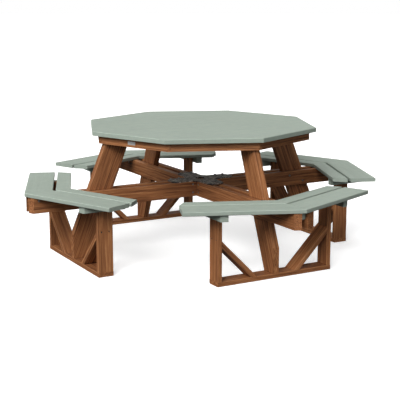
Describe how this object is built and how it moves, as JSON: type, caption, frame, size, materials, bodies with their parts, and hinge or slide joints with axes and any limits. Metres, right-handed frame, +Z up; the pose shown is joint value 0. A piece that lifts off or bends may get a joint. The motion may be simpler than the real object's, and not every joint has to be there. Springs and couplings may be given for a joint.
{
  "type": "picnic table",
  "caption": "Octagonal picnic table: sage green top and V-shaped benches on a brown timber frame with leaning legs, paired seat beams and a steel centre plate.",
  "frame": {"origin": "on the ground, at the centre of the table", "axes": "+Z up; the four bench arms run along +X, +Y, -X and -Y; the tabletop's corners point along the arms and between them"},
  "size_m": [2.221, 2.221, 0.747],
  "materials": {
    "sage_board": "satin",
    "sage_cap": "satin",
    "brown_board": "satin, stained, straight grain along each board",
    "dark_steel_plate": "textured powder coat",
    "plain_plaque": "brushed, blank",
    "zinc_steel": "zinc plated",
    "dark_screws": "brown coated"
  },
  "bodies": {
    "root": {"tabletop": "sage_board", "umbrella_hole_cap": "sage_cap", "seat_right_outer_a": "sage_board", "seat_right_outer_b": "sage_board", "seat_right_inner_a": "sage_board", "seat_right_inner_b": "sage_board", "seat_back_outer_a": "sage_board", "seat_back_outer_b": "sage_board", "seat_back_inner_a": "sage_board", "seat_back_inner_b": "sage_board", "seat_left_outer_a": "sage_board", "seat_left_outer_b": "sage_board", "seat_left_inner_a": "sage_board", "seat_left_inner_b": "sage_board", "seat_front_outer_a": "sage_board", "seat_front_outer_b": "sage_board", "seat_front_inner_a": "sage_board", "seat_front_inner_b": "sage_board", "seat_end_cleats": "sage_board", "seat_corner_cleats": "sage_board", "apron_panels": "brown_board", "top_battens": "brown_board", "centre_spacers": "brown_board", "beam_right_a": "brown_board", "post_right_a": "brown_board", "beam_right_b": "brown_board", "post_right_b": "brown_board", "leg_right": "brown_board", "ground_rail_right": "brown_board", "braces_right": "brown_board", "beam_back_a": "brown_board", "post_back_a": "brown_board", "beam_back_b": "brown_board", "post_back_b": "brown_board", "leg_back": "brown_board", "ground_rail_back": "brown_board", "braces_back": "brown_board", "beam_left_a": "brown_board", "post_left_a": "brown_board", "beam_left_b": "brown_board", "post_left_b": "brown_board", "leg_left": "brown_board", "ground_rail_left": "brown_board", "braces_left": "brown_board", "beam_front_a": "brown_board", "post_front_a": "brown_board", "beam_front_b": "brown_board", "post_front_b": "brown_board", "leg_front": "brown_board", "ground_rail_front": "brown_board", "braces_front": "brown_board", "centre_plate": "dark_steel_plate", "apron_plaque": "plain_plaque", "plate_bolts": "zinc_steel", "beam_bolts": "zinc_steel", "beam_nuts": "zinc_steel", "centre_screws": "zinc_steel", "seat_screws": "dark_screws", "frame_screws": "dark_screws", "top_screws": "dark_screws"}
  },
  "joints": []
}
